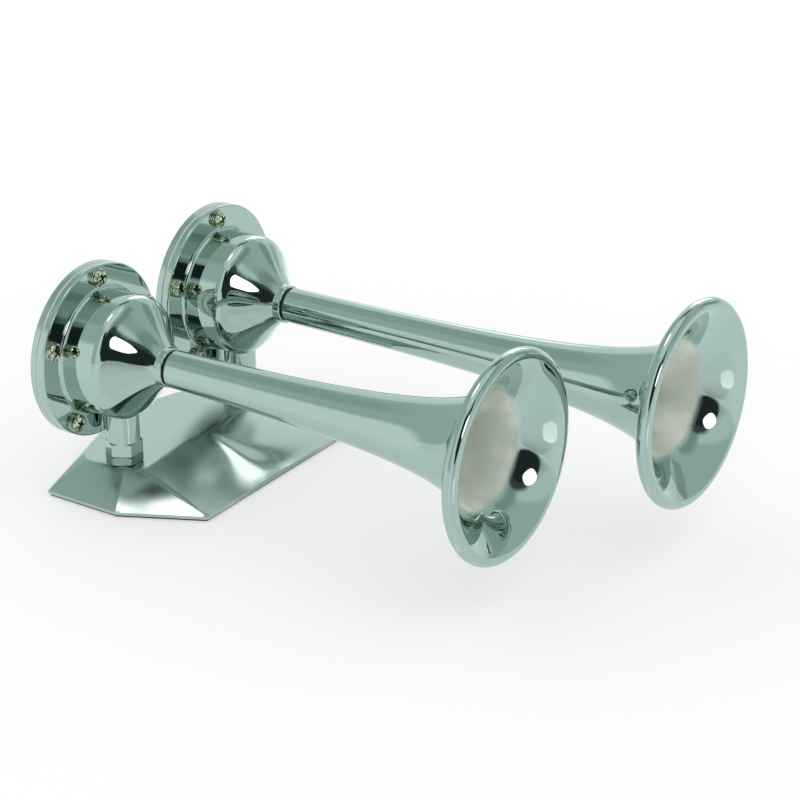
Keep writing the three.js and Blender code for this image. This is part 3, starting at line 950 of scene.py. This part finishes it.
def makeBasePlate():
    s = base
    side = s["sideFromStem"]
    foot = [
        (s["footFrontX"], 0),
        (s["footFrontX"], side + s["footFrontMargin"]),
        (s["footSideX"], side + s["footSideMargin"]),
        (s["footRearX"], side + s["footRearMargin"]),
        (s["footMiddleX"], 0),
    ]
    top = [
        (s["topFrontX"], 0),
        (s["topFrontX"], side + s["topFrontMargin"]),
        (s["topRearX"], side + s["topRearMargin"]),
        (s["topMiddleX"], 0),
    ]
    rim = [(s["footFrontX"] - s["valleyInset"], 0), *foot[1:]]
    outer = plateColumns(foot, top, s)
    inner = plateColumns(rim, top, s)
    tops = [pair[1] for pair in inner]
    half = [columnPoints(bottom, edge, ridge, inwardsAt(tops, ridge), s)
            for (bottom, _), (edge, ridge) in zip(outer, inner)]
    other = [[(x, -y, z) for x, y, z in column] for column in reversed(half[1:-1])]
    bm = bmesh.new()
    grid = [[bm.verts.new(point) for point in column] for column in half + other]
    for one, two in zip(grid, grid[1:] + grid[:1]):
        for i in range(len(one) - 1):
            bm.faces.new((one[i], two[i], two[i + 1], one[i + 1]))
    bm.faces.new([column[0] for column in grid])
    bm.faces.new([column[-1] for column in grid])
    bmesh.ops.remove_doubles(bm, verts=bm.verts, dist=weldDistance)
    bmesh.ops.recalc_face_normals(bm, faces=bm.faces)
    piece = toObject(bm, "basePlate")
    low = s["gasketThickness"]
    cuts = []
    for turn in (-1, 1):
        cuts += [(s["stemHoleRadius"], s["stemHoleTop"], 0, turn * side, 0),
                 (s["seatRadius"], s["seatTop"], 0, turn * side, s["seatTurn"]),
                 (s["mountHoleRadius"], low + s["mountHoleDepth"], s["mountHoleX"], turn * s["mountHoleY"], 0)]
    for radius, top, x, y, twist in cuts:
        hole = turned(rodShape(low - s["holeBelow"], top, radius, s["holeSteps"]), twist)
        carve(piece, toObject(hole, "baseHole", (x, y, 0)))
    for row in (-1, 0, 1):
        pocket = boxShape((s["pocketSize"], s["pocketSize"], s["pocketDepth"] * 2))
        carve(piece, toObject(pocket, "pocket", (s["pocketX"], row * s["pocketPitch"], low)))
    dress(piece, "base", castMaterial, ["base_plate"], sharpAngle=25)


for prefix in ("short", "long"):
    makeFrontBody(prefix)
    makeRearCover(prefix)
    for number, place in enumerate(screwPlaces(prefix), start=1):
        makeScrew(prefix, number, place)
    makeTrumpet(prefix)
    makeRing(prefix, "NeckSeal", neckSeal, "neck_seal", rubberMaterial)
    makeRing(prefix, "CoverGasket", coverGasket, "cover_gasket", fibreMaterial)
    makeStem(prefix)
    makeNut(prefix, "LockNut", stemSizes["plateTop"], stemSizes["nutHeight"], "lock_nut")
    makeNut(prefix, "UnderNut", stemSizes["underNutFoot"], stemSizes["underNutHeight"], "under_nut")
    print(prefix, "horn modelled")
makeBasePlate()

# nodes that keep their CAD shape
carriedOver = {
    "base_gasket": rubberMaterial,
    "short_diaphragm": steelMaterial,
    "long_diaphragm": steelMaterial,
    "short_throat_nozzle": brassMaterial,
    "long_throat_nozzle": brassMaterial,
    "short_stem_washer": steelMaterial,
    "long_stem_washer": steelMaterial,
}
for node, material in carriedOver.items():
    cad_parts[node].data.materials.clear()
    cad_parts[node].data.materials.append(material)
print("pieces made")


# studio: a pale floor, a white surround, and the lamp and cards that the chrome mirrors
studio = {
    "floorSize": 6,
    "floorDrop": 0.1,
    "floorColour": 1.0,
    "floorGlow": 0.4,
    "sheenColour": (0.65, 0.90, 0.88),
    "sheenRoughness": 0.04,
    "sheenIor": 1.7,
    "level": 0.6,
    # azimuth and elevation of the middle, half width and half height, width of the soft edge, level
    "cards": [
        (0, -45, 180, 46, 6, 0.92),
        (0, 90, 180, 29, 6, 0.85),
        (0, 66, 60, 6, 6, 1.0),
        (112, 54, 24, 7, 4, 0.22),
        (175, 52, 30, 7, 12, 0.5),
        (115, 20, 26, 26, 8, 0.88),
        (-62, 12, 18, 46, 8, 0.88),
        (-38, 52, 16, 7, 8, 0.85),
        (106, 23, 18, 12, 3, 1.9),
        (-135, 12, 12, 14, 10, 0.95),
        (4, 20, 9, 20, 8, 0.78),
        (22, 44, 30, 6, 8, 0.4),
        (68, 12, 6, 14, 5, 0.42),
        (86, 22, 10, 12, 6, 0.85),
        (-44, 32, 8, 18, 3, 0.03),
    ],
    # the same for sheets with round corners: dark ones, then the lamp and the softbox overhead
    "rounded": [
        (-19, 34, 19, 13, 6, 0.08),
        (-28, 20, 20, 20, 4, 0.03),
        (-12, 20.5, 8.2, 7.8, 1, 3.2),
        (-160, 77, 32, 7, 4, 3.2),
    ],
    # the surround's colour at rising levels
    "tints": [(0, (0.68, 1, 1.04)), (0.5, (0.74, 1, 0.9)), (1.0, (0.89, 1, 0.96)), (1.3, (1, 1, 1))],
}


def cardMask(nodes, links, aside, above, halfWidth, halfHeight, edge):
    # 1 inside a square-cornered sheet, falling softly to 0 over its edge
    wide = mapRange(nodes, links, aside, halfWidth + edge / 2, halfWidth - edge / 2)
    tall = mapRange(nodes, links, above, halfHeight + edge / 2, halfHeight - edge / 2)
    return mathNode(nodes, links, "MULTIPLY", wide, tall)


def ovalMask(nodes, links, aside, above, halfWidth, halfHeight, edge):
    # the same for a sheet with strongly rounded corners; a power of 2 would be an ellipse
    power = 2.6
    wide = mathNode(nodes, links, "POWER", mathNode(nodes, links, "DIVIDE", aside, halfWidth), power)
    tall = mathNode(nodes, links, "POWER", mathNode(nodes, links, "DIVIDE", above, halfHeight), power)
    reach = mathNode(nodes, links, "POWER", mathNode(nodes, links, "ADD", wide, tall), 1 / power)
    soft = edge / 2 / min(halfWidth, halfHeight)
    return mapRange(nodes, links, reach, 1 + soft, 1 - soft)


def layered(nodes, links, below, level, mask):
    # the level of one sheet over what lies behind it
    mix = nodes.new("ShaderNodeMix")
    mix.inputs["B"].default_value = level
    links.new(mask, mix.inputs["Factor"])
    if isinstance(below, (int, float)):
        mix.inputs["A"].default_value = below
    else:
        links.new(below, mix.inputs["A"])
    return mix.outputs["Result"]


def makeFloor(setup):
    bm = bmesh.new()
    bmesh.ops.create_grid(bm, x_segments=1, y_segments=1, size=setup["floorSize"] / 2)
    mesh = bpy.data.meshes.new("floor")
    bm.to_mesh(mesh)
    bm.free()
    floor = bpy.data.objects.new("floor", mesh)
    floor.location.z = -setup["floorDrop"] * mm
    bpy.context.scene.collection.objects.link(floor)
    material, nodes, links = newMaterial("floorPaper")
    shader = nodes["Principled BSDF"]
    shader.inputs["Base Color"].default_value = (*[setup["floorColour"]] * 3, 1)
    shader.inputs["Roughness"].default_value = 1
    shader.inputs["Specular IOR Level"].default_value = 0
    # the chrome sees the lamp once more in the sheen of the paper
    sheen = nodes.new("ShaderNodeBsdfPrincipled")
    sheen.inputs["Base Color"].default_value = (*setup["sheenColour"], 1)
    sheen.inputs["Roughness"].default_value = setup["sheenRoughness"]
    sheen.inputs["Specular IOR Level"].default_value = 1
    sheen.inputs["IOR"].default_value = setup["sheenIor"]
    # the camera and the chrome see part of the paper at an even white, so that the shadow stays light
    glow = nodes.new("ShaderNodeEmission")
    lightPath = nodes.new("ShaderNodeLightPath")
    choose = nodes.new("ShaderNodeMixShader")
    seen = mathNode(nodes, links, "MAXIMUM", lightPath.outputs["Is Camera Ray"], lightPath.outputs["Is Glossy Ray"])
    seen = mathNode(nodes, links, "MAXIMUM", seen, lightPath.outputs["Is Transmission Ray"])
    links.new(mathNode(nodes, links, "MULTIPLY", seen, setup["floorGlow"]), choose.inputs["Fac"])
    paper = nodes.new("ShaderNodeMixShader")
    links.new(lightPath.outputs["Is Glossy Ray"], paper.inputs["Fac"])
    links.new(shader.outputs["BSDF"], paper.inputs[1])
    links.new(sheen.outputs["BSDF"], paper.inputs[2])
    links.new(paper.outputs["Shader"], choose.inputs[1])
    links.new(glow.outputs["Emission"], choose.inputs[2])
    links.new(choose.outputs["Shader"], nodes["Material Output"].inputs["Surface"])
    mesh.materials.append(material)


def makeWorld(setup):
    world = bpy.data.worlds.new("studioWorld")
    bpy.context.scene.world = world
    world.use_nodes = True
    nodes, links = world.node_tree.nodes, world.node_tree.links
    direction = nodes.new("ShaderNodeTexCoord").outputs["Generated"]
    split = nodes.new("ShaderNodeSeparateXYZ")
    links.new(direction, split.inputs["Vector"])
    x, y, z = split.outputs
    azimuth = mathNode(nodes, links, "DEGREES", mathNode(nodes, links, "ARCTAN2", y, x))
    elevation = mathNode(nodes, links, "DEGREES", mathNode(nodes, links, "ARCSINE", z))
    level = setup["level"]
    sheets = [(cardMask, *card) for card in setup["cards"]] + [(ovalMask, *sheet) for sheet in setup["rounded"]]
    for makeMask, middle, height, halfWidth, halfHeight, edge, brightness in sheets:
        aside = mathNode(nodes, links, "SUBTRACT", azimuth, middle)
        aside = mathNode(nodes, links, "WRAP", aside, 180)
        aside.node.inputs[2].default_value = -180  # the wrap's lower end
        aside = mathNode(nodes, links, "ABSOLUTE", aside)
        above = mathNode(nodes, links, "ABSOLUTE", mathNode(nodes, links, "SUBTRACT", elevation, height))
        mask = makeMask(nodes, links, aside, above, halfWidth, halfHeight, edge)
        level = layered(nodes, links, level, brightness, mask)
    ramp = nodes.new("ShaderNodeValToRGB")
    most = setup["tints"][-1][0]
    links.new(mathNode(nodes, links, "DIVIDE", level, most), ramp.inputs["Fac"])
    stops = ramp.color_ramp.elements
    while len(stops) < len(setup["tints"]):
        stops.new(0.5)
    for stop, (brightness, tint) in zip(stops, setup["tints"]):
        stop.position = brightness / most
        stop.color = (*tint, 1)
    background = nodes["Background"]
    tinted = nodes.new("ShaderNodeVectorMath")
    tinted.operation = "SCALE"
    links.new(ramp.outputs["Color"], tinted.inputs[0])
    links.new(level, tinted.inputs["Scale"])
    links.new(tinted.outputs["Vector"], background.inputs["Color"])
    # the camera and matte surfaces see plain white, the chrome sees the sheets
    plain = nodes.new("ShaderNodeBackground")
    plain.inputs["Color"].default_value = (1, 1, 1, 1)
    lightPath = nodes.new("ShaderNodeLightPath")
    choose = nodes.new("ShaderNodeMixShader")
    mirrored = mathNode(nodes, links, "MAXIMUM", lightPath.outputs["Is Glossy Ray"],
                        lightPath.outputs["Is Transmission Ray"])
    links.new(mirrored, choose.inputs["Fac"])
    links.new(plain.outputs["Background"], choose.inputs[1])
    links.new(background.outputs["Background"], choose.inputs[2])
    links.new(choose.outputs["Shader"], nodes["World Output"].inputs["Surface"])


makeFloor(studio)
makeWorld(studio)
bpy.context.scene.view_settings.view_transform = "Standard"
print("studio set")
